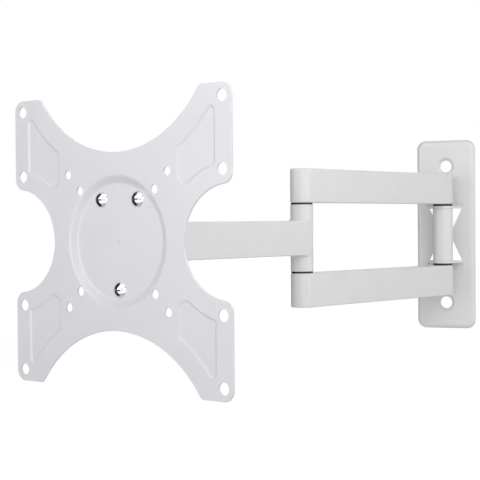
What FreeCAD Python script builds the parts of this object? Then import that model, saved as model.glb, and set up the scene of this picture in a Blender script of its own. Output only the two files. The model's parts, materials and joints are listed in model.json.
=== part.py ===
import FreeCAD, Part
import math
import os

# Wall arm for a monitor. Two rear bars swing on a wall plate, one forearm swings between
# them, and a head on its end swivels and tilts a 200 x 200 mm screen plate.
# Frame: millimetres, +Z up. The wall is the plane Y = 0 and the arm reaches towards -Y.
# The origin is the middle of the wall plate's back face.

# Rest pose: turns about +Z, each from the piece before it, with 0 straight off the wall
REAR_TURN = -23.9
FOREARM_TURN = 3.74
HEAD_TURN = 1.46

# Arms
REAR_ARM_LENGTH = 219.0       # wall pivot to elbow
FOREARM_LENGTH = 178.5        # elbow to head pivot
BAR_HEIGHT = 30.0
BAR_WIDTH = 20.0              # also the diameter of the tubes that the bars run into
BAR_WALL = 1.8
BAR_EDGE = 1.2                # edge radius along a bar
BAR_GAP = 61.5                # clear height between the two rear bars
END_BLOCK = 13.0              # solid metal from a pivot axis to the hollow of its bar
HEAD_BARREL = 40.0            # height of the tube on the forearm's head end
WELD_R = 1.4                  # bead where the forearm's bar meets its tubes
TUBE_EDGE = 0.6               # edge radius of the tubes' ends

# Pivots
BOLT_D = 8.0
BOLT_HEAD_D = 13.0
BOLT_HEAD_H = 8.0
BOLT_HEAD_CHAMFER = 0.6
SOCKET_ACROSS = 6.0
SOCKET_DEPTH = 4.0
HEX_ACROSS = 13.0
HEX_HEAD_H = 5.3
HEX_INSET = 0.2               # the turned end face of a hexagon lies this far inside its flats
NUT_H = 8.0
NUT_HEX_H = 6.0               # the rest of a nut is its round locking collar
NUT_COLLAR_D = 11.6
NUT_COLLAR_EDGE = 0.8
THREAD_END = 1.2              # thread that stands out of a nut
COUNTERBORE_D = 15.6
COUNTERBORE_DEPTH = 13.0
CAP_H = 2.0
CAP_EDGE = 0.4
CAP_HOLLOW_D = 14.0
CAP_HOLLOW_H = 1.0
BUSH_D = 12.0
BUSH_FLANGE_D = 15.0
BUSH_FLANGE_H = 1.2
TUBE_BUSH_LENGTH = 14.0       # sleeves in the ends of the elbow tube and the head barrel
WASHER_D = 19.0               # black washers between the arms
WALL_WASHER_H = 2.0
ELBOW_WASHER_H = 1.5
HEAD_WASHER_H = 0.8

# Wall plate
WALL_PLATE_WIDTH = 59.0
WALL_PLATE_HEIGHT = 192.0
WALL_PLATE_CORNER = 9.0
WALL_SHEET = 2.5
TRAY_DEPTH = 5.0
TRAY_EDGE = 4.8               # outside radius of the bend round the tray
PIVOT_STANDOFF = 16.0         # tray front to the wall pivot axis
WALL_HOLE_SPACING = 139.0
WALL_HOLE_D = 12.0
DIMPLE_D = 17.5               # the dimples are as deep as they need to be to bear on the wall
DIMPLE_EDGE = 2.5
EAR_BEND = 2.0                # inside bend radius of the ears
EAR_ROOT = 36.8               # width of an ear where it leaves the tray
WINDOW_WAIST = 9.0

# Screen plate
SCREEN_SIDE_MARGIN = 8.5      # middle of an outer hole to the plate's side edge
SCREEN_END_MARGIN = 9.0       # the same to its top and bottom edges
SCREEN_SHEET = 1.5
SCREEN_CORNER = 8.5
SCREEN_LIFT = 0.8             # middle of the screen plate above the arm's mid-plane
SCREEN_EDGE = 0.5
HORN_R = 5.0                  # where the top edge turns into the wide hollow
SHOULDER_R = 8.5              # where the side edge turns into the side hollow
WIDE_HOLLOW_R = 95.0
WIDE_HOLLOW_AT = 160.5        # its centre, above and below the plate's middle
SIDE_HOLLOW_R = 40.0
SIDE_HOLLOW_AT = 105.2
DISC_RIM_R = 48.3
DISC_FLOOR_R = 43.4
DISC_DEPTH = 3.5
DISC_EDGE_R = 4.0             # bend radius round the dish's rim and floor, on the front
CENTRE_MARK_D = 3.0
CENTRE_MARK_DEPTH = 0.6
PANEL_INNER_X = 58.7
PANEL_OUTER_X = 94.1
PANEL_WIDE_MARGIN = 15.3      # metal left between a panel and the wide hollow
PANEL_SIDE_MARGIN = 13.9      # the same beside the side hollow
PANEL_DEPTH = 0.9
PANEL_SLOPE = 2.0             # width of the sloping wall round a panel's floor
PANEL_LIP = 0.1               # straight part of that wall, above its slope
PANEL_TIP_R = 4.0             # corner in the plate's arm
PANEL_HEEL_R = 7.8            # corner by the side hollow, nearest the dish
PANEL_CORNER_R = 2.5          # the other two corners
LARGE_HOLE_D = 9.0
LARGE_PATTERN_WIDTH = 200.0
LARGE_PATTERN_HEIGHT = 200.0
LOW_PATTERN_HEIGHT = 100.0    # lower pattern of large holes, as wide as the square one
SMALL_HOLE_D = 6.8
WIDE_SQUARE = 100.0           # sides of the two square patterns of small holes
NARROW_SQUARE = 75.0

# Head
TILT_REACH = 28.0             # head pivot axis to tilt axis
TILT_OFFSET = 22.0            # tilt axis to the screen plate's front face
BRACKET_SHEET = 2.5
BRACKET_BEND = 1.5
WEB_CLEARANCE = 2.5           # between the head barrel and the swivel bracket's web
SWIVEL_WIDTH = 43.4
SWIVEL_FLANGE_R = 12.0
SWIVEL_FLANGE_ROOT = 30.0
SWIVEL_CHEEK_R = 11.0
SWIVEL_CHEEK_ROOT = 34.0
TILT_WASHER_H = 0.8
TILT_WASHER_D = 18.0
TILT_RANGE = 15.0
TILT_BASE_HEIGHT = 84.0
TILT_BASE_CORNER = 12.0
TILT_CHEEK_R = 12.0
TILT_CHEEK_ROOT = 38.0
NOTCH_RELIEF = 2.0
SPACER_D = 13.0
GUIDE_RADIUS = 13.0           # tilt axis to the guide screws
GUIDE_D = 5.0
GUIDE_HEAD_D = 9.5
GUIDE_HEAD_H = 2.8
GUIDE_HEAD_EDGE = 1.2
GUIDE_PLAY = 0.2              # guide screw in its slot, and under its head
GUIDE_LOBE = 4.4              # metal round a guide slot
SCREW_D = 6.0
SCREW_HEAD_D = 12.0
SCREW_HEAD_H = 3.5
SCREW_DOME_R = 7.2            # radius of the sphere that tops a plate screw's head
SCREW_LENGTH = 12.0
SCREW_SLOT_WIDTH = 1.2
SCREW_SLOT_LENGTH = 5.6
SCREW_SLOT_DEPTH = 1.6
SCREW_NUT_ACROSS = 10.0
SCREW_NUT_H = 5.0
UPPER_SCREW_X = 18.2
UPPER_SCREW_Z = 30.9          # screw heights are from the screen plate's middle
LOWER_SCREW_Z = -35.6

# Clearances, each on the radius
RUN = 0.05                    # bolt in bush, tilt bolt in cheek
SEAT = 0.02                   # bush in its seat
LOOSE = 0.3                   # bolt through a plain hole

# Working values that no finished surface shows
OVERRUN = 1.0                 # how far a cutting shape runs past the metal
LAP = 0.01                    # how far the halves of a mirrored cutting shape reach into each other
NEAR = 0.05                   # how close an edge lies to the point that picks it
SAME = 0.001                  # how closely an edge keeps to the level that picks it

# Derived places
PIVOT_Y = -(TRAY_DEPTH + PIVOT_STANDOFF)
BAR_R = BAR_WIDTH / 2
BAR_LOW = BAR_GAP / 2
BAR_TOP = BAR_LOW + BAR_HEIGHT
SEAT_Z = BAR_TOP - COUNTERBORE_DEPTH
EAR_TOP = BAR_LOW - WALL_WASHER_H
EAR_LOW = EAR_TOP - WALL_SHEET
BEND_TOP = EAR_TOP + EAR_BEND
ELBOW_TOP = BAR_LOW - ELBOW_WASHER_H
SCREEN_WIDTH = LARGE_PATTERN_WIDTH + 2 * SCREEN_SIDE_MARGIN
SCREEN_HEIGHT = LARGE_PATTERN_HEIGHT + 2 * SCREEN_END_MARGIN
SCREEN_FRONT = -(TILT_REACH + TILT_OFFSET)
SCREEN_BACK = SCREEN_FRONT + SCREEN_SHEET
DISC_FLOOR_Y = SCREEN_FRONT + DISC_DEPTH
TILT_BASE_Y = DISC_FLOOR_Y + SCREEN_SHEET
TILT_BASE_BACK = TILT_BASE_Y + BRACKET_SHEET
WEB_BACK = -(BAR_R + WEB_CLEARANCE)
WEB_FRONT = WEB_BACK - BRACKET_SHEET
FLANGE_LOW = HEAD_BARREL / 2 + HEAD_WASHER_H
FLANGE_TOP = FLANGE_LOW + BRACKET_SHEET
CHEEK_OUT = SWIVEL_WIDTH / 2
CHEEK_IN = CHEEK_OUT - BRACKET_SHEET
TILT_CHEEK_IN = CHEEK_OUT + TILT_WASHER_H
TILT_CHEEK_OUT = TILT_CHEEK_IN + BRACKET_SHEET
PLATE_SCREWS = {
    "left": (-UPPER_SCREW_X, SCREEN_LIFT + UPPER_SCREW_Z),
    "right": (UPPER_SCREW_X, SCREEN_LIFT + UPPER_SCREW_Z),
    "bottom": (0.0, SCREEN_LIFT + LOWER_SCREW_Z),
}

V = FreeCAD.Vector
X, Y, Z = V(1, 0, 0), V(0, 1, 0), V(0, 0, 1)
PLANES = {"xy": (X, Y, Z), "yz": (Y, Z, X), "xz": (X, Z, Y)}


# Outlines and plain solids

def belt_normals(circles):
    """Direction, from each circle's centre, of the point where the belt leaves it."""
    normals = []
    for (au, av, ar), (bu, bv, br) in zip(circles, circles[1:] + circles[:1]):
        way = math.atan2(bv - av, bu - au)
        normals.append(way - math.acos((ar - br) / math.hypot(bu - au, bv - av)))
    return normals


def belt(circles, plane):
    """Face inside a tight belt round the circles (u, v, r), listed anticlockwise.

    A circle that the belt of its neighbours clears is passed over."""
    turn = 2 * math.pi
    while True:
        normals = belt_normals(circles)
        sweeps = [(normals[i] - normals[i - 1]) % turn for i in range(len(circles))]
        if max(sweeps) < math.pi + 1e-6:
            break
        circles = [c for c, sweep in zip(circles, sweeps) if sweep < max(sweeps)]
    u_axis, v_axis, _ = PLANES[plane]

    def on(circle, angle):
        u, v, r = circle
        return u_axis * (u + r * math.cos(angle)) + v_axis * (v + r * math.sin(angle))

    edges = []
    for i, circle in enumerate(circles):
        if circle[2] > 0 and sweeps[i] > 1e-6:
            points = [on(circle, normals[i] - share * sweeps[i]) for share in (1, 0.5, 0)]
            edges.append(Part.Arc(*points).toShape())
        following = circles[(i + 1) % len(circles)]
        edges.append(Part.makeLine(on(circle, normals[i]), on(following, normals[i])))
    return Part.Face(Part.Wire(edges))


def slab(face, plane, low, high):
    """The face extruded between two heights across its plane."""
    normal = PLANES[plane][2]
    moved = face.copy()
    moved.translate(normal * low)
    return moved.extrude(normal * (high - low))


def block(x, y, z):
    """Box between the low and high values given for each axis."""
    return Part.makeBox(x[1] - x[0], y[1] - y[0], z[1] - z[0], V(x[0], y[0], z[0]))


def rod(diameter, low, high, plane="xy", at=(0.0, 0.0)):
    """Round bar across a plane, between two heights."""
    u_axis, v_axis, normal = PLANES[plane]
    foot = u_axis * at[0] + v_axis * at[1] + normal * low
    return Part.makeCylinder(diameter / 2, high - low, foot, normal)


def ring(outer, inner, low, high, plane="xy", at=(0.0, 0.0)):
    return rod(outer, low, high, plane, at).cut(rod(inner, low, high, plane, at))


def hexagon(across, low, high, plane="xy", at=(0.0, 0.0)):
    """Hexagonal prism with its corners turned down at 30 degrees at both ends."""
    corner = across / math.sqrt(3)
    turns = [math.radians(60 * k) for k in range(6)]
    points = [(at[0] + corner * math.cos(turn), at[1] + corner * math.sin(turn), 0.0) for turn in turns]
    prism = slab(belt(points, plane), plane, low, high)
    u_axis, v_axis, normal = PLANES[plane]
    middle = u_axis * at[0] + v_axis * at[1] + normal * (low + high) / 2
    half = (high - low) / 2
    face = across / 2 - HEX_INSET
    cones = [Part.makeCone(face + half * math.sqrt(3), face, half, middle, normal * way) for way in (1, -1)]
    return prism.common(cones[0].fuse(cones[1]))


def rounded_box(width, height, corner):
    """Corner circles of a rounded rectangle about the middle, for belt()."""
    u, v = width / 2 - corner, height / 2 - corner
    return [(u, -v, corner), (u, v, corner), (-u, v, corner), (-u, -v, corner)]


def channel(half_width, depth, sheet, bend):
    """U section in the xy plane: web along X at y = 0, flanges towards +Y."""
    outer = bend + sheet
    w = half_width
    around = [(w - outer, outer, outer), (w, depth, 0), (-w, depth, 0), (-w + outer, outer, outer)]
    i = w - sheet
    inside = [(i - bend, outer, bend), (i, depth, 0), (-i, depth, 0), (-i + bend, outer, bend)]
    return belt(around, "xy").cut(belt(inside, "xy"))


def fillet_at(shape, radius, axis, points):
    """Round the edges that run along the axis through the given points."""
    chosen = []
    for edge in shape.Edges:
        a, b = edge.Vertexes[0].Point, edge.Vertexes[-1].Point
        if (b - a).Length < 1e-6 or (b - a).cross(axis).Length > 1e-4:
            continue
        if any(((a - p) - axis * (a - p).dot(axis)).Length < NEAR for p in points):
            chosen.append(edge)
    return shape.makeFillet(radius, chosen)


def cone_growth(depth, run, sheet):
    """How much wider a pressed cone is on the sheet's back than on its front."""
    return sheet * math.tan(math.atan2(depth, run) / 2)


def rim_edges(shape, axis, level):
    """Edges that lie wholly in the plane across the axis at the given level."""
    return [e for e in shape.Edges
            if abs(e.BoundBox.Center.dot(axis) - level) < SAME
            and all(abs(v.Point.dot(axis) - level) < SAME for v in e.Vertexes)
            and abs(e.valueAt((e.FirstParameter + e.LastParameter) / 2).dot(axis) - level) < SAME]


def round_edges(shape, diameter, centre):
    """Whole circles about the Y axis with this diameter and centre."""
    found = []
    for edge in shape.Edges:
        box = edge.BoundBox
        if edge.Closed and abs(box.XLength - diameter) < NEAR and (box.Center - centre).Length < NEAR:
            found.append(edge)
    return found


def mirrored(shape, *axes):
    """The shape with its mirror images across the planes normal to each axis in turn."""
    for axis in axes:
        shape = shape.fuse(shape.mirror(V(0, 0, 0), axis))
    return shape


# Fasteners, with the head towards +Z, the seat at its height and the thread downwards

def socket_bolt(seat, nut_seat):
    end = nut_seat - NUT_H - THREAD_END
    head = rod(BOLT_HEAD_D, seat, seat + BOLT_HEAD_H)
    head = head.makeChamfer(BOLT_HEAD_CHAMFER, rim_edges(head, Z, seat + BOLT_HEAD_H))
    socket = hexagon(SOCKET_ACROSS, seat + BOLT_HEAD_H - SOCKET_DEPTH, seat + BOLT_HEAD_H + OVERRUN)
    return head.fuse(rod(BOLT_D, end, seat)).cut(socket)


def lock_nut(top):
    """Nut whose bearing face is at the given height, with its collar below."""
    low = top - NUT_H
    body = hexagon(HEX_ACROSS, top - NUT_HEX_H, top)
    collar = rod(NUT_COLLAR_D, low, top - NUT_HEX_H)
    collar = collar.makeFillet(NUT_COLLAR_EDGE, rim_edges(collar, Z, low))
    return body.fuse(collar).cut(rod(BOLT_D, low - OVERRUN, top + OVERRUN))


def hex_bolt(seat, nut_seat):
    end = nut_seat - NUT_H - THREAD_END
    return hexagon(HEX_ACROSS, seat, seat + HEX_HEAD_H).fuse(rod(BOLT_D, end, seat))


def along_x(shape):
    """Turn a fastener from the Z axis to the X axis, with its head towards -X."""
    turned = shape.copy()
    turned.rotate(V(0, 0, 0), Y, -90)
    return turned


# Wall plate

def tray():
    outline = belt(rounded_box(WALL_PLATE_WIDTH, WALL_PLATE_HEIGHT, WALL_PLATE_CORNER), "xz")
    outside = slab(outline, "xz", -TRAY_DEPTH, 0)
    outside = outside.makeFillet(TRAY_EDGE, rim_edges(outside, Y, -TRAY_DEPTH))
    narrow = rounded_box(WALL_PLATE_WIDTH - 2 * WALL_SHEET, WALL_PLATE_HEIGHT - 2 * WALL_SHEET,
                         WALL_PLATE_CORNER - WALL_SHEET)
    inside = slab(belt(narrow, "xz"), "xz", -TRAY_DEPTH + WALL_SHEET, OVERRUN)
    bend = TRAY_EDGE - WALL_SHEET
    inside = inside.makeFillet(bend, rim_edges(inside, Y, -TRAY_DEPTH + WALL_SHEET))
    return outside.cut(inside)


def with_dimple(sheet, z):
    """The tray with one pressed dimple, down to the wall, and its wall screw hole."""
    front, back = -TRAY_DEPTH, -TRAY_DEPTH + WALL_SHEET
    depth = -back
    wide, narrow = DIMPLE_D / 2, WALL_HOLE_D / 2
    out = cone_growth(depth, wide - narrow, WALL_SHEET)
    pressed = Part.makeCone(wide + out, narrow + out, depth, V(0, back, z), Y)
    pocket = Part.makeCone(wide, narrow, depth, V(0, front, z), Y)
    hole = rod(WALL_HOLE_D, front - OVERRUN, OVERRUN, "xz", (0, z))
    sheet = sheet.fuse(pressed).cut(pocket).cut(hole)
    return sheet.makeFillet(DIMPLE_EDGE, round_edges(sheet, DIMPLE_D, V(0, front, z)))


def window():
    """Bow-tie opening that the two ears were folded out of."""
    root, waist = EAR_ROOT / 2, WINDOW_WAIST / 2
    half = [(-waist, -LAP, 0), (waist, -LAP, 0), (root, BEND_TOP, 0), (-root, BEND_TOP, 0)]
    upper = slab(belt(half, "xz"), "xz", -TRAY_DEPTH - OVERRUN, OVERRUN)
    return mirrored(upper, Z)


def ear():
    """Upper ear with its bend, tapering to a round end about the wall pivot."""
    arc_length = (EAR_BEND + WALL_SHEET / 2) * math.pi / 2
    slope = (EAR_ROOT - WINDOW_WAIST) / 2 / BEND_TOP
    bend_y = -TRAY_DEPTH - EAR_BEND
    half_root = EAR_ROOT / 2
    half_bent = half_root - slope * arc_length
    flat = belt([(-half_bent, bend_y, 0), (0, PIVOT_Y, BAR_R), (half_bent, bend_y, 0)], "xy")
    flat = slab(flat, "xy", EAR_LOW, EAR_TOP)
    outer, inner = EAR_BEND + WALL_SHEET, EAR_BEND
    bend = ring(2 * outer, 2 * inner, -half_root, half_root, "yz", (bend_y, BEND_TOP))
    quarter = block((-half_root, half_root), (bend_y, bend_y + outer), (BEND_TOP - outer, BEND_TOP))
    bend = bend.common(quarter)
    sides = belt([(-half_bent, bend_y, 0), (half_bent, bend_y, 0), (half_root, bend_y + outer, 0),
                  (-half_root, bend_y + outer, 0)], "xy")
    bend = bend.common(slab(sides, "xy", BEND_TOP - outer, BEND_TOP))
    hole = rod(BOLT_D + 2 * LOOSE, EAR_LOW - OVERRUN, EAR_TOP + OVERRUN, "xy", (0, PIVOT_Y))
    return flat.fuse(bend).cut(hole)


def wall_plate():
    sheet = tray().cut(window())
    for side in (1, -1):
        sheet = with_dimple(sheet, side * WALL_HOLE_SPACING / 2)
    upper = ear()
    return sheet.fuse(upper).fuse(upper.mirror(V(0, 0, 0), Z)).removeSplitter()


# Bars and tubes, each from its first pivot axis at the origin towards -Y

def hollow(length, low, high):
    """Space inside a bar between its two solid ends."""
    inside = BAR_R - BAR_WALL
    return block((-inside, inside), (-length + END_BLOCK, -END_BLOCK), (low + BAR_WALL, high - BAR_WALL))


def rear_bar():
    """Upper rear bar, with a bolt seat sunk into the top of each end."""
    stadium = belt([(0, 0, BAR_R), (0, -REAR_ARM_LENGTH, BAR_R)], "xy")
    bar = slab(stadium, "xy", BAR_LOW, BAR_TOP)
    bar = bar.makeFillet(BAR_EDGE, rim_edges(bar, Z, BAR_LOW) + rim_edges(bar, Z, BAR_TOP))
    bar = bar.cut(hollow(REAR_ARM_LENGTH, BAR_LOW, BAR_TOP))
    bush_seat = rod(BUSH_D + 2 * SEAT, BAR_LOW - OVERRUN, BAR_TOP)
    bolt_hole = rod(BOLT_D + 2 * LOOSE, BAR_LOW - OVERRUN, BAR_TOP, at=(0, -REAR_ARM_LENGTH))
    bar = bar.cut(bush_seat).cut(bolt_hole)
    for y in (0, -REAR_ARM_LENGTH):
        bar = bar.cut(rod(COUNTERBORE_D, SEAT_Z, BAR_TOP + OVERRUN, at=(0, y)))
    return bar


def wall_bush():
    """Flanged sleeve in the wall end of the upper rear bar."""
    sleeve = rod(BUSH_D, BAR_LOW, SEAT_Z)
    flange = rod(BUSH_FLANGE_D, SEAT_Z, SEAT_Z + BUSH_FLANGE_H)
    return sleeve.fuse(flange).cut(rod(BOLT_D + 2 * RUN, BAR_LOW - OVERRUN, BAR_TOP))


def cap(y):
    """Plastic plug that closes a bolt seat flush with the bar's top."""
    disc = rod(COUNTERBORE_D - 2 * SEAT, BAR_TOP - CAP_H, BAR_TOP, at=(0, y))
    disc = disc.makeFillet(CAP_EDGE, rim_edges(disc, Z, BAR_TOP))
    low = BAR_TOP - CAP_H
    return disc.cut(rod(CAP_HOLLOW_D, low - OVERRUN, low + CAP_HOLLOW_H, at=(0, y)))


def tube(half_height):
    """Solid round bar about the pivot axis, with the edges of both ends rounded."""
    body = rod(BAR_WIDTH, -half_height, half_height)
    return body.makeFillet(TUBE_EDGE, rim_edges(body, Z, half_height) + rim_edges(body, Z, -half_height))


def tube_bush(half_height):
    """Sleeve in the top end of a tube of the given half height."""
    return ring(BUSH_D, BOLT_D + 2 * RUN, half_height - TUBE_BUSH_LENGTH, half_height)


def bored(shape, half_height):
    """The piece with a bolt hole through its tube and a bush seat in each end of that tube."""
    shape = shape.cut(rod(BOLT_D + 2 * LOOSE, -half_height, half_height))
    seat = rod(BUSH_D + 2 * SEAT, half_height - TUBE_BUSH_LENGTH, half_height)
    return shape.cut(seat).cut(seat.mirror(V(0, 0, 0), Z))


def weld(z):
    """Bead round the half of a tube that stands on the bar's top or bottom face."""
    bead = Part.makeTorus(BAR_R, WELD_R, V(0, 0, z), Z)
    return bead.common(block((-BAR_R, BAR_R), (-BAR_WIDTH, 0), (z - BAR_WALL, z + BAR_WALL)))


def forearm():
    """Bar welded between the tall elbow tube and the short head barrel."""
    half = BAR_HEIGHT / 2
    bar = block((-BAR_R, BAR_R), (-FOREARM_LENGTH, 0), (-half, half))
    corners = [V(x, 0, z) for x in (-BAR_R, BAR_R) for z in (-half, half)]
    whole = fillet_at(bar, BAR_EDGE, Y, corners)
    for way, y, reach in ((1, 0, ELBOW_TOP), (-1, -FOREARM_LENGTH, HEAD_BARREL / 2)):
        end = tube(reach).fuse(mirrored(weld(half), Z))
        if way < 0:
            end = end.mirror(V(0, 0, 0), Y)
        end.translate(V(0, y, 0))
        whole = whole.fuse(end)
    whole = bored(whole.cut(hollow(FOREARM_LENGTH, -half, half)), ELBOW_TOP)
    whole.translate(V(0, FOREARM_LENGTH, 0))
    whole = bored(whole, HEAD_BARREL / 2)
    whole.translate(V(0, -FOREARM_LENGTH, 0))
    return whole


# Head, about the head pivot axis, with the screen towards -Y

def swivel_flange():
    """Upper flange of the swivel bracket with the web's upper half, open towards the barrel."""
    section = channel(FLANGE_TOP, -WEB_FRONT + SWIVEL_FLANGE_R, BRACKET_SHEET, BRACKET_BEND)
    strip = slab(section, "xy", -SWIVEL_WIDTH, SWIVEL_WIDTH)
    strip.rotate(V(0, 0, 0), Y, 90)
    strip.translate(V(0, WEB_FRONT, 0))
    root = SWIVEL_FLANGE_ROOT / 2
    plan = belt([(-root, WEB_FRONT, 0), (root, WEB_FRONT, 0), (0, 0, SWIVEL_FLANGE_R)], "xy")
    strip = strip.common(slab(plan, "xy", -FLANGE_TOP, FLANGE_TOP))
    return strip.cut(rod(BOLT_D + 2 * LOOSE, -FLANGE_TOP - OVERRUN, FLANGE_TOP + OVERRUN))


def swivel_cheeks():
    """Web and side cheeks of the swivel bracket, open towards the screen."""
    section = channel(CHEEK_OUT, TILT_REACH + WEB_BACK + SWIVEL_CHEEK_R, BRACKET_SHEET, BRACKET_BEND)
    strip = slab(section, "xy", -FLANGE_TOP, FLANGE_TOP)
    strip.rotate(V(0, 0, 0), Z, 180)
    strip.translate(V(0, WEB_BACK, 0))
    root = SWIVEL_CHEEK_ROOT / 2
    lobe = GUIDE_D / 2 + GUIDE_LOBE
    side = belt([(-TILT_REACH, 0, SWIVEL_CHEEK_R), (WEB_BACK, -root, 0), (WEB_BACK, root, 0),
                 (-TILT_REACH, GUIDE_RADIUS, lobe)], "yz")
    return strip.common(slab(side, "yz", -CHEEK_OUT, CHEEK_OUT))


def swivel_bracket():
    whole = swivel_flange().fuse(swivel_cheeks()).removeSplitter()
    tilt_hole = rod(BOLT_D + 2 * RUN, -SWIVEL_WIDTH, SWIVEL_WIDTH, "yz", (-TILT_REACH, 0))
    guide_hole = rod(GUIDE_D, -SWIVEL_WIDTH, SWIVEL_WIDTH, "yz", (-TILT_REACH, GUIDE_RADIUS))
    return whole.cut(tilt_hole).cut(guide_hole)


def guide_place(angle):
    """Point on the guide radius, turned from straight above the tilt axis towards the wall."""
    turn = math.radians(angle)
    return -TILT_REACH + GUIDE_RADIUS * math.sin(turn), GUIDE_RADIUS * math.cos(turn)


def guide_slot():
    """Curved slot through both cheeks of the tilt bracket, as long as the tilt needs."""
    width = GUIDE_D + GUIDE_PLAY
    reach = TILT_CHEEK_OUT + OVERRUN
    outer = rod(2 * GUIDE_RADIUS + width, -reach, reach, "yz", (-TILT_REACH, 0))
    band = outer.cut(rod(2 * GUIDE_RADIUS - width, -reach, reach, "yz", (-TILT_REACH, 0)))
    far = 2 * GUIDE_RADIUS * math.tan(math.radians(TILT_RANGE))
    sector = belt([(-TILT_REACH, 0, 0), (-TILT_REACH + far, 2 * GUIDE_RADIUS, 0),
                   (-TILT_REACH - far, 2 * GUIDE_RADIUS, 0)], "yz")
    slot = band.common(slab(sector, "yz", -reach, reach))
    for angle in (-TILT_RANGE, TILT_RANGE):
        slot = slot.fuse(rod(width, -reach, reach, "yz", guide_place(angle)))
    return slot


def tilt_cheeks():
    """Base and side cheeks of the tilt bracket, open towards the wall."""
    depth = -TILT_REACH + TILT_CHEEK_R + GUIDE_RADIUS - TILT_BASE_Y
    strip = slab(channel(TILT_CHEEK_OUT, depth, BRACKET_SHEET, BRACKET_BEND), "xy",
                 -TILT_CHEEK_ROOT / 2, TILT_CHEEK_ROOT / 2)
    strip.translate(V(0, TILT_BASE_Y, 0))
    root = TILT_CHEEK_ROOT / 2
    lobe = GUIDE_D / 2 + GUIDE_LOBE
    back, front = guide_place(TILT_RANGE), guide_place(-TILT_RANGE)
    side = belt([(TILT_BASE_Y, -root, 0), (-TILT_REACH, 0, TILT_CHEEK_R), (*back, lobe), (*front, lobe),
                 (TILT_BASE_Y, root, 0)], "yz")
    return strip.common(slab(side, "yz", -TILT_CHEEK_OUT, TILT_CHEEK_OUT))


def tilt_base():
    """Flat of the tilt bracket, notched beside the cheeks' bends."""
    outline = belt(rounded_box(2 * TILT_CHEEK_OUT, TILT_BASE_HEIGHT, TILT_BASE_CORNER), "xz")
    base = slab(outline, "xz", TILT_BASE_Y, TILT_BASE_BACK)
    flat = TILT_CHEEK_OUT - BRACKET_SHEET - BRACKET_BEND
    half = TILT_CHEEK_ROOT / 2 + NOTCH_RELIEF
    through = (TILT_BASE_Y - OVERRUN, TILT_BASE_BACK + OVERRUN)
    notch = block((flat, TILT_CHEEK_OUT + OVERRUN), through, (-half, half))
    return base.cut(mirrored(notch, X))


def tilt_bracket():
    whole = tilt_base().fuse(tilt_cheeks()).removeSplitter()
    for place in PLATE_SCREWS.values():
        hole = rod(SCREW_D + 2 * LOOSE, TILT_BASE_Y - OVERRUN, TILT_BASE_BACK + OVERRUN, "xz", place)
        whole = whole.cut(hole)
    reach = TILT_CHEEK_OUT + OVERRUN
    return whole.cut(rod(BOLT_D + 2 * RUN, -reach, reach, "yz", (-TILT_REACH, 0))).cut(guide_slot())


def guide_screw(side):
    """Screw fixed in a swivel cheek, with its head outside the tilt bracket's slot."""
    low, head = CHEEK_IN, TILT_CHEEK_OUT + GUIDE_PLAY
    shank = rod(GUIDE_D, low, head, "yz", guide_place(0))
    top = rod(GUIDE_HEAD_D, head, head + GUIDE_HEAD_H, "yz", guide_place(0))
    top = top.makeFillet(GUIDE_HEAD_EDGE, rim_edges(top, X, head + GUIDE_HEAD_H))
    screw = shank.fuse(top)
    return screw if side > 0 else screw.mirror(V(0, 0, 0), X)


# Screen plate and its screws, in the head's frame

def screen_outline():
    """Flat blank: a rounded box with two wide hollows and two side hollows."""
    side, end = SCREEN_WIDTH / 2, SCREEN_HEIGHT / 2
    past = (SCREEN_FRONT - OVERRUN, SCREEN_BACK + OVERRUN)
    square = belt(rounded_box(SCREEN_WIDTH, SCREEN_HEIGHT, SCREEN_CORNER), "xz")
    blank = slab(square, "xz", SCREEN_FRONT, SCREEN_BACK)
    for way in (1, -1):
        blank = blank.cut(rod(2 * WIDE_HOLLOW_R, *past, "xz", (0, way * WIDE_HOLLOW_AT)))
        blank = blank.cut(rod(2 * SIDE_HOLLOW_R, *past, "xz", (way * SIDE_HOLLOW_AT, 0)))
    horn = math.sqrt(WIDE_HOLLOW_R ** 2 - (WIDE_HOLLOW_AT - end) ** 2)
    shoulder = math.sqrt(SIDE_HOLLOW_R ** 2 - (side - SIDE_HOLLOW_AT) ** 2)
    signs = [(x, z) for x in (-1, 1) for z in (-1, 1)]
    blank = fillet_at(blank, HORN_R, Y, [V(x * horn, 0, z * end) for x, z in signs])
    blank = fillet_at(blank, SHOULDER_R, Y, [V(x * side, 0, z * shoulder) for x, z in signs])
    return blank.makeFillet(SCREEN_EDGE, rim_edges(blank, Y, SCREEN_FRONT))


def panel_tool(front, grow):
    """Upper right panel as a shallow tool with sloping walls, larger all round by grow."""
    floor = front + PANEL_DEPTH
    wide = WIDE_HOLLOW_R + PANEL_WIDE_MARGIN - grow
    side = SIDE_HOLLOW_R + PANEL_SIDE_MARGIN - grow
    inner, outer = PANEL_INNER_X - grow, PANEL_OUTER_X + grow
    past = (front - OVERRUN, floor + OVERRUN)
    tool = block((inner, outer), (front, floor), (0, WIDE_HOLLOW_AT))
    tool = tool.cut(rod(2 * wide, *past, "xz", (0, WIDE_HOLLOW_AT)))
    tool = tool.cut(rod(2 * side, *past, "xz", (SIDE_HOLLOW_AT, 0)))
    top = [V(x, 0, WIDE_HOLLOW_AT - math.sqrt(wide ** 2 - x ** 2)) for x in (inner, outer)]
    low = [V(x, 0, math.sqrt(side ** 2 - (SIDE_HOLLOW_AT - x) ** 2)) for x in (inner, outer)]
    tool = fillet_at(tool, PANEL_TIP_R, Y, [top[1]])
    tool = fillet_at(tool, PANEL_HEEL_R, Y, [low[0]])
    tool = fillet_at(tool, PANEL_CORNER_R, Y, [top[0], low[1]])
    return tool.makeChamfer(PANEL_DEPTH - PANEL_LIP, PANEL_SLOPE, rim_edges(tool, Y, floor))


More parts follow.
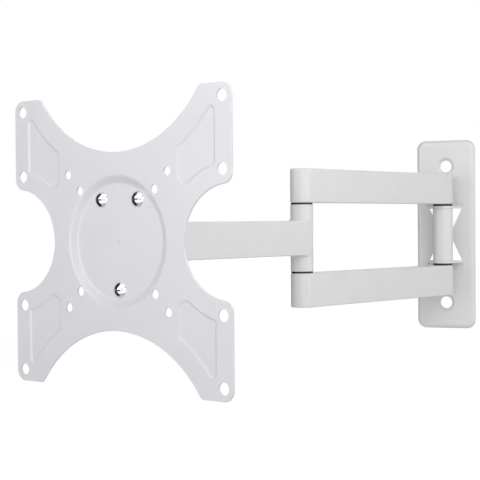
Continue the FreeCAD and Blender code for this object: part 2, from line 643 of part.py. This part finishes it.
def with_panels(plate):
    """The plate with one panel pressed back in each of its four arms."""
    grow = cone_growth(PANEL_DEPTH, PANEL_SLOPE, SCREEN_SHEET)
    back, pocket = panel_tool(SCREEN_BACK, grow), panel_tool(SCREEN_FRONT, 0.0)
    for turn_x in (False, True):
        for turn_z in (False, True):
            raised, sunk = back, pocket
            for turned, axis in ((turn_x, X), (turn_z, Z)):
                if turned:
                    raised, sunk = raised.mirror(V(0, 0, 0), axis), sunk.mirror(V(0, 0, 0), axis)
            plate = plate.fuse(raised).cut(sunk)
    return plate


def with_disc(plate):
    """The plate with its middle drawn back into a shallow round dish."""
    grow = cone_growth(DISC_DEPTH, DISC_RIM_R - DISC_FLOOR_R, SCREEN_SHEET)
    dish = Part.makeCone(DISC_RIM_R + grow, DISC_FLOOR_R + grow, DISC_DEPTH, V(0, SCREEN_BACK, 0), Y)
    pocket = Part.makeCone(DISC_RIM_R, DISC_FLOOR_R, DISC_DEPTH, V(0, SCREEN_FRONT, 0), Y)
    plate = plate.fuse(dish).cut(pocket)
    bends = [
        (DISC_RIM_R, SCREEN_FRONT, DISC_EDGE_R),
        (DISC_FLOOR_R, DISC_FLOOR_Y, DISC_EDGE_R),
        (DISC_RIM_R + grow, SCREEN_BACK, DISC_EDGE_R - SCREEN_SHEET),
        (DISC_FLOOR_R + grow, TILT_BASE_Y, DISC_EDGE_R + SCREEN_SHEET),
    ]
    for radius, level, bend in bends:
        plate = plate.makeFillet(bend, round_edges(plate, 2 * radius, V(0, level, 0)))
    return plate.cut(rod(CENTRE_MARK_D, DISC_FLOOR_Y - OVERRUN, DISC_FLOOR_Y + CENTRE_MARK_DEPTH, "xz"))


def pattern_holes():
    """Diameter and place of each screen hole, from the plate's middle."""
    patterns = [
        (LARGE_HOLE_D, LARGE_PATTERN_WIDTH, LARGE_PATTERN_HEIGHT),
        (LARGE_HOLE_D, LARGE_PATTERN_WIDTH, LOW_PATTERN_HEIGHT),
        (SMALL_HOLE_D, WIDE_SQUARE, WIDE_SQUARE),
        (SMALL_HOLE_D, NARROW_SQUARE, NARROW_SQUARE),
    ]
    signs = [(x, z) for x in (-1, 1) for z in (-1, 1)]
    return [(d, (x * width / 2, z * height / 2)) for d, width, height in patterns for x, z in signs]


def screen_plate():
    plate = with_panels(with_disc(screen_outline()))
    past = (SCREEN_FRONT - OVERRUN, TILT_BASE_Y + OVERRUN)
    for diameter, place in pattern_holes():
        plate = plate.cut(rod(diameter, *past, "xz", place))
    plate.translate(Z * SCREEN_LIFT)
    for place in PLATE_SCREWS.values():
        plate = plate.cut(rod(SCREW_D + 2 * LOOSE, *past, "xz", place))
    return plate


def plate_screw(x, z):
    """Domed screw with a cross recess, its head on the dish floor."""
    top = DISC_FLOOR_Y - SCREW_HEAD_H
    dome = Part.makeSphere(SCREW_DOME_R, V(x, top + SCREW_DOME_R, z), Y, -90, 90, 360)
    head = rod(SCREW_HEAD_D, top, DISC_FLOOR_Y, "xz", (x, z)).common(dome)
    shank = rod(SCREW_D, DISC_FLOOR_Y, DISC_FLOOR_Y + SCREW_LENGTH, "xz", (x, z))
    long, wide = SCREW_SLOT_LENGTH / 2, SCREW_SLOT_WIDTH / 2
    deep = (top - OVERRUN, top + SCREW_SLOT_DEPTH)
    cross = block((x - long, x + long), deep, (z - wide, z + wide))
    cross = cross.fuse(block((x - wide, x + wide), deep, (z - long, z + long)))
    return head.fuse(shank).cut(cross)


def plate_nut(x, z):
    end = TILT_BASE_BACK + SCREW_NUT_H
    body = hexagon(SCREW_NUT_ACROSS, TILT_BASE_BACK, end, "xz", (x, z))
    return body.cut(rod(SCREW_D, TILT_BASE_BACK - OVERRUN, end + OVERRUN, "xz", (x, z)))


# Sub-parts of each moving body, in that body's own frame

def upper_and_lower(name, shape):
    """The piece and its mirror image below the arm's mid-plane, as two nodes."""
    return {name + "_upper": shape, name + "_lower": shape.mirror(V(0, 0, 0), Z)}


def wall_body():
    nodes = {}
    plate = wall_plate()
    plate.translate(V(0, -PIVOT_Y, 0))
    nodes["wall_plate"] = plate
    nodes["wall_spacer_tube"] = tube(EAR_LOW).cut(rod(BOLT_D + 2 * LOOSE, -EAR_LOW, EAR_LOW))
    seat = SEAT_Z + BUSH_FLANGE_H
    nodes["wall_bolt"] = socket_bolt(seat, -seat)
    nodes["wall_nut"] = lock_nut(-seat)
    nodes.update(upper_and_lower("wall_washer", ring(WASHER_D, BOLT_D + 2 * LOOSE, EAR_TOP, BAR_LOW)))
    return nodes


def rear_body():
    nodes = upper_and_lower("rear_arm", rear_bar())
    nodes.update(upper_and_lower("wall_bush", wall_bush()))
    nodes.update(upper_and_lower("wall_cap", cap(0)))
    nodes.update(upper_and_lower("elbow_cap", cap(-REAR_ARM_LENGTH)))
    for name, shape in (("elbow_bolt", socket_bolt(SEAT_Z, -SEAT_Z)), ("elbow_nut", lock_nut(-SEAT_Z))):
        shape.translate(V(0, -REAR_ARM_LENGTH, 0))
        nodes[name] = shape
    return nodes


def forearm_body():
    nodes = {"forearm": forearm()}
    nodes.update(upper_and_lower("elbow_bush", tube_bush(ELBOW_TOP)))
    washer = ring(WASHER_D, BOLT_D + 2 * LOOSE, ELBOW_TOP, BAR_LOW)
    nodes.update(upper_and_lower("elbow_washer", washer))
    bush = tube_bush(HEAD_BARREL / 2)
    bush.translate(V(0, -FOREARM_LENGTH, 0))
    nodes.update(upper_and_lower("head_bush", bush))
    return nodes


def head_body():
    nodes = {"swivel_bracket": swivel_bracket()}
    nodes["head_bolt"] = hex_bolt(FLANGE_TOP, -FLANGE_TOP)
    nodes["head_nut"] = lock_nut(-FLANGE_TOP)
    washer = ring(WASHER_D, BOLT_D + 2 * LOOSE, HEAD_BARREL / 2, FLANGE_LOW)
    nodes.update(upper_and_lower("head_washer", washer))
    axis = V(0, -TILT_REACH, 0)
    for name, shape in (("tilt_bolt", hex_bolt(TILT_CHEEK_OUT, -TILT_CHEEK_OUT)),
                        ("tilt_nut", lock_nut(-TILT_CHEEK_OUT))):
        shape = along_x(shape)
        shape.translate(axis)
        nodes[name] = shape
    at = (-TILT_REACH, 0)
    nodes["tilt_spacer"] = ring(SPACER_D, BOLT_D + 2 * LOOSE, -CHEEK_IN, CHEEK_IN, "yz", at)
    washer = ring(TILT_WASHER_D, BOLT_D + 2 * LOOSE, CHEEK_OUT, TILT_CHEEK_IN, "yz", at)
    nodes["tilt_washer_right"] = washer
    nodes["tilt_washer_left"] = washer.mirror(V(0, 0, 0), X)
    nodes["guide_screw_right"] = guide_screw(1)
    nodes["guide_screw_left"] = guide_screw(-1)
    return nodes


def screen_body():
    nodes = {"tilt_bracket": tilt_bracket(), "screen_plate": screen_plate()}
    for place, (x, z) in PLATE_SCREWS.items():
        nodes["plate_screw_" + place] = plate_screw(x, z)
        nodes["plate_nut_" + place] = plate_nut(x, z)
    return nodes


# Rest pose

def step(turn, forward):
    """Placement of a body in the frame before it: move towards -Y, then turn about +Z."""
    return FreeCAD.Placement(V(0, -forward, 0), FreeCAD.Rotation(Z, turn))


def write(nodes, placement):
    for name, shape in nodes.items():
        placed = shape.copy()
        placed.Placement = placement.multiply(placed.Placement)
        placed.exportStep(os.path.join("parts", name + ".step"))


def main():
    os.makedirs("parts", exist_ok=True)
    wall = step(0, -PIVOT_Y)
    rear = wall.multiply(step(REAR_TURN, 0))
    fore = rear.multiply(step(FOREARM_TURN, REAR_ARM_LENGTH))
    head = fore.multiply(step(HEAD_TURN, FOREARM_LENGTH))
    write(wall_body(), wall)
    write(rear_body(), rear)
    write(forearm_body(), fore)
    write(head_body(), head)
    write(screen_body(), head)


main()
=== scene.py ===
import json
import math

import bpy
from mathutils import Matrix, Vector


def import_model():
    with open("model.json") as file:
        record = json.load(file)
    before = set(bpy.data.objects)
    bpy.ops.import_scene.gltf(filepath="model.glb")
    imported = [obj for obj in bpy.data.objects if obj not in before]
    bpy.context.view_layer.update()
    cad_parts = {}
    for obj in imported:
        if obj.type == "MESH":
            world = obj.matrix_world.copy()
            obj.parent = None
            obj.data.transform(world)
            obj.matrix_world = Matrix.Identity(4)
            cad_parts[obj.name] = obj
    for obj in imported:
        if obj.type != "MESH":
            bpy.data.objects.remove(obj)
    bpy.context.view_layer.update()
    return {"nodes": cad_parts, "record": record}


# Looks of a wall arm for a monitor: white powder coat, black nylon washers, zinc and chrome screws.
# Lengths are metres in the row frame: the wall is the plane Y = 0, the arm reaches towards -Y.
# Angles are degrees. Colours and tones are linear, and 1 is white.

# Camera, as the photograph was taken
CAMERA_AT = Vector((0.2127, -1.2368, 0.0147))
CAMERA_HEADING = 19.47        # to the left of straight at the wall
CAMERA_PITCH = -0.87          # above the horizon
CAMERA_ROLL = -0.46
CAMERA_LENS = 90.5            # millimetres, as is the sensor's width
SENSOR_WIDTH = 36.0
CLIP_START = 0.05
CLIP_END = 50.0

# Surroundings
FLOOR_Z = -0.60
FLOOR_SIZE = 120.0
FLOOR_COLOUR = (0.9, 0.9, 0.9)
FLOOR_ROUGHNESS = 0.8
FLOOR_GLOW = 0.7              # brings the floor up to white where it is seen directly
AMBIENT = 0.30                # even light that reaches the object from all around
LAMP_TARGET = Vector((-0.12, -0.23, 0.0))
OPAQUE = 1.0
WHITE_LIGHT = (1.0, 1.0, 1.0, OPAQUE)

# Powder coat: each paint wanders between a darker and a lighter tone that are close to each other
WHITE_PAINT = ((0.743, 0.743, 0.744), (0.763, 0.763, 0.764))
COOL_WHITE_PAINT = ((0.732, 0.734, 0.766), (0.752, 0.754, 0.786))
PAINT_ROUGHNESS = 0.32
TONE_PATCH = 0.03
ORANGE_PEEL = 0.0011
ORANGE_PEEL_DEPTH = 0.000012

# Other finishes
NYLON_BLACK = (0.012, 0.012, 0.013)
PLASTIC_WHITE = (0.76, 0.76, 0.77)
ZINC_TONES = ((0.55, 0.56, 0.60), (0.68, 0.68, 0.70))
CHROME = (0.82, 0.82, 0.84)

# Share of the noise at which a mottled colour leaves its darker tone and reaches its lighter one
DARK_UNTIL = 0.35
LIGHT_FROM = 0.65


def new_material(name, colour, roughness, metallic=0.0):
    """New material and its shader, in one even colour."""
    material = bpy.data.materials.new(name)
    material.use_nodes = True
    shader = material.node_tree.nodes["Principled BSDF"]
    shader.inputs["Base Color"].default_value = (*colour, OPAQUE)
    shader.inputs["Roughness"].default_value = roughness
    shader.inputs["Metallic"].default_value = metallic
    return material, shader


def add(tree, kind, **values):
    """New node in the tree, with its sockets and settings by name."""
    node = tree.nodes.new(kind)
    for key, value in values.items():
        if key in node.inputs:
            node.inputs[key].default_value = value
        else:
            setattr(node, key, value)
    return node


def noise(tree, size, detail):
    """Noise with features of about the given size, fixed to the piece."""
    place = add(tree, "ShaderNodeTexCoord")
    texture = add(tree, "ShaderNodeTexNoise", Scale=1.0 / size, Detail=detail)
    tree.links.new(place.outputs["Object"], texture.inputs["Vector"])
    return texture.outputs["Fac"]


def grained(shader, size, detail, depth):
    """Raise and lower the surface by up to the depth, in grains of about the given size."""
    tree = shader.id_data
    bump = add(tree, "ShaderNodeBump", Distance=depth)
    tree.links.new(noise(tree, size, detail), bump.inputs["Height"])
    tree.links.new(bump.outputs["Normal"], shader.inputs["Normal"])


def mottled(shader, size, detail, tones):
    """Base colour that wanders between two close tones, in patches of about the given size."""
    tree = shader.id_data
    ramp = add(tree, "ShaderNodeValToRGB")
    for stop, position, tone in zip(ramp.color_ramp.elements, (DARK_UNTIL, LIGHT_FROM), tones):
        stop.position = position
        stop.color = (*tone, OPAQUE)
    tree.links.new(noise(tree, size, detail), ramp.inputs["Fac"])
    tree.links.new(ramp.outputs["Color"], shader.inputs["Base Color"])


def powder_coat(name, tones):
    """Satin powder coat: faint orange peel and a slightly uneven tone."""
    material, shader = new_material(name, tones[1], PAINT_ROUGHNESS)
    mottled(shader, TONE_PATCH, detail=3.0, tones=tones)
    grained(shader, ORANGE_PEEL, detail=1.0, depth=ORANGE_PEEL_DEPTH)
    return material


def nylon():
    """Dull black washers and bushes with a fine grain."""
    material, shader = new_material("black_nylon", NYLON_BLACK, roughness=0.5)
    grained(shader, size=0.0004, detail=2.0, depth=0.00001)
    return material


def moulded_white():
    """White caps, a little duller than the paint."""
    material, shader = new_material("white_plastic", PLASTIC_WHITE, roughness=0.45)
    grained(shader, size=0.0005, detail=2.0, depth=0.000006)
    return material


def zinc():
    """Bolts and nuts with the faintly cloudy tone of plating."""
    material, shader = new_material("zinc_steel", ZINC_TONES[1], roughness=0.3, metallic=1.0)
    mottled(shader, size=0.004, detail=4.0, tones=ZINC_TONES)
    grained(shader, size=0.0003, detail=3.0, depth=0.000004)
    return material


def chrome():
    """Polished screw head, slightly wavy so that the mirrored room isn't perfect."""
    material, shader = new_material("chrome_screw", CHROME, roughness=0.07, metallic=1.0)
    grained(shader, size=0.003, detail=1.0, depth=0.00001)
    return material


def dress(nodes, record):
    """Give each node the material of its slot in the record, and the screen plate a cooler white."""
    by_slot = {
        "white_paint": powder_coat("white_paint", WHITE_PAINT),
        "black_nylon": nylon(),
        "white_plastic": moulded_white(),
        "zinc_steel": zinc(),
        "chrome_screw": chrome(),
    }
    by_node = {"screen_plate": powder_coat("cool_white_paint", COOL_WHITE_PAINT)}
    for part in record["subparts"]:
        mesh = nodes[part["node"]].data
        mesh.materials.clear()
        mesh.materials.append(by_node.get(part["node"], by_slot[part["material_slot"]]))


def camera():
    """Long lens at the photograph's place and angle."""
    data = bpy.data.cameras.new("camera")
    data.sensor_width = SENSOR_WIDTH
    data.lens = CAMERA_LENS
    data.clip_start = CLIP_START
    data.clip_end = CLIP_END
    eye = bpy.data.objects.new("camera", data)
    bpy.context.scene.collection.objects.link(eye)
    heading = Matrix.Rotation(math.radians(CAMERA_HEADING), 4, "Z")
    pitch = Matrix.Rotation(math.radians(90 + CAMERA_PITCH), 4, "X")
    roll = Matrix.Rotation(math.radians(CAMERA_ROLL), 4, "Z")
    eye.matrix_world = Matrix.Translation(CAMERA_AT) @ heading @ pitch @ roll
    bpy.context.scene.camera = eye


def seen_directly(tree):
    """1 for rays that show the background: from the camera, in gloss and through glass."""
    path = add(tree, "ShaderNodeLightPath")
    total = path.outputs["Is Camera Ray"]
    for name in ("Is Glossy Ray", "Is Transmission Ray"):
        join = add(tree, "ShaderNodeMath", operation="MAXIMUM")
        tree.links.new(total, join.inputs[0])
        tree.links.new(path.outputs[name], join.inputs[1])
        total = join.outputs[0]
    return total


def world():
    """White to the eye, and a dimmer even light on the object."""
    sky = bpy.data.worlds.new("studio")
    bpy.context.scene.world = sky
    sky.use_nodes = True
    tree = sky.node_tree
    back = tree.nodes["Background"]
    back.inputs["Color"].default_value = WHITE_LIGHT
    level = add(tree, "ShaderNodeMapRange")
    level.inputs["To Min"].default_value = AMBIENT
    level.inputs["To Max"].default_value = 1.0
    tree.links.new(seen_directly(tree), level.inputs["Value"])
    tree.links.new(level.outputs["Result"], back.inputs["Strength"])


def floor():
    """Wide pale floor that is white where it is seen and keeps the object's shadow."""
    bpy.ops.mesh.primitive_plane_add(size=FLOOR_SIZE, location=(0.0, 0.0, FLOOR_Z))
    plane = bpy.context.object
    plane.name = "floor"
    material, shader = new_material("floor", FLOOR_COLOUR, FLOOR_ROUGHNESS)
    shader.inputs["Emission Color"].default_value = WHITE_LIGHT
    tree = shader.id_data
    lift = add(tree, "ShaderNodeMath", operation="MULTIPLY")
    lift.inputs[1].default_value = FLOOR_GLOW
    tree.links.new(seen_directly(tree), lift.inputs[0])
    tree.links.new(lift.outputs[0], shader.inputs["Emission Strength"])
    plane.data.materials.append(material)


def card(name, tone, at, turn, size):
    """Flat card that only reflections see, with its turn about X, Y and Z."""
    bpy.ops.mesh.primitive_plane_add(size=1.0, location=at, rotation=[math.radians(a) for a in turn])
    sheet = bpy.context.object
    sheet.name = name
    sheet.scale = (*size, 1.0)
    material, shader = new_material(name, (0.0, 0.0, 0.0), roughness=1.0)
    shader.inputs["Specular IOR Level"].default_value = 0.0
    shader.inputs["Emission Color"].default_value = WHITE_LIGHT
    shader.inputs["Emission Strength"].default_value = tone
    sheet.data.materials.append(material)
    for ray in ("camera", "diffuse", "shadow", "transmission", "volume_scatter"):
        setattr(sheet, "visible_" + ray, False)


def cards():
    """What the polished screws mirror: dark to the left, grey to the right and below."""
    card("dark_left", tone=0.02, at=(-3.2, 1.1, 2.7), turn=(0, 90, 0), size=(6.6, 7.8))
    card("dark_below", tone=0.02, at=(-2.65, -0.52, -0.45), turn=(0, 0, 38), size=(3.5, 3.0))
    card("grey_below", tone=0.55, at=(-0.10, -0.35, -0.46), turn=(0, 0, 0), size=(1.4, 1.3))
    card("grey_right", tone=0.72, at=(2.32, -2.45, 0.5), turn=(90, 0, 51), size=(2.85, 5.0))
    card("dark_front", tone=0.10, at=(0.23, -1.29, 0.015), turn=(90, 0, 25), size=(0.24, 0.24))


def lamp(name, azimuth, elevation, distance, size, power):
    """Soft box aimed at the object. Azimuth 0 stands in front of the wall, 90 towards +X."""
    data = bpy.data.lights.new(name, "AREA")
    data.shape = "RECTANGLE"
    data.size, data.size_y = size
    data.energy = power
    box = bpy.data.objects.new(name, data)
    bpy.context.scene.collection.objects.link(box)
    a, e = math.radians(azimuth), math.radians(elevation)
    away = Vector((math.sin(a) * math.cos(e), -math.cos(a) * math.cos(e), math.sin(e)))
    box.location = LAMP_TARGET + away * distance
    box.rotation_mode = "QUATERNION"
    box.rotation_quaternion = away.to_track_quat("Z", "Y")
    box.visible_camera = False


def lamps():
    """Two wide boxes in front, one to the right, and two small close ones above; powers in watts."""
    lamp("front_left", azimuth=-36, elevation=5, distance=2.2, size=(1.5, 1.0), power=13.4)
    lamp("front_right", azimuth=30, elevation=5, distance=2.2, size=(1.0, 1.0), power=6.2)
    lamp("right", azimuth=90, elevation=5, distance=2.2, size=(1.0, 1.0), power=7.2)
    lamp("near_right", azimuth=60, elevation=35, distance=0.7, size=(0.4, 0.4), power=1.47)
    lamp("near_top", azimuth=0, elevation=35, distance=0.7, size=(0.4, 0.4), power=0.88)


def look():
    """Show colours as they are written."""
    bpy.context.scene.view_settings.view_transform = "Standard"


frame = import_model()
camera()
dress(frame["nodes"], frame["record"])
world()
floor()
cards()
lamps()
look()
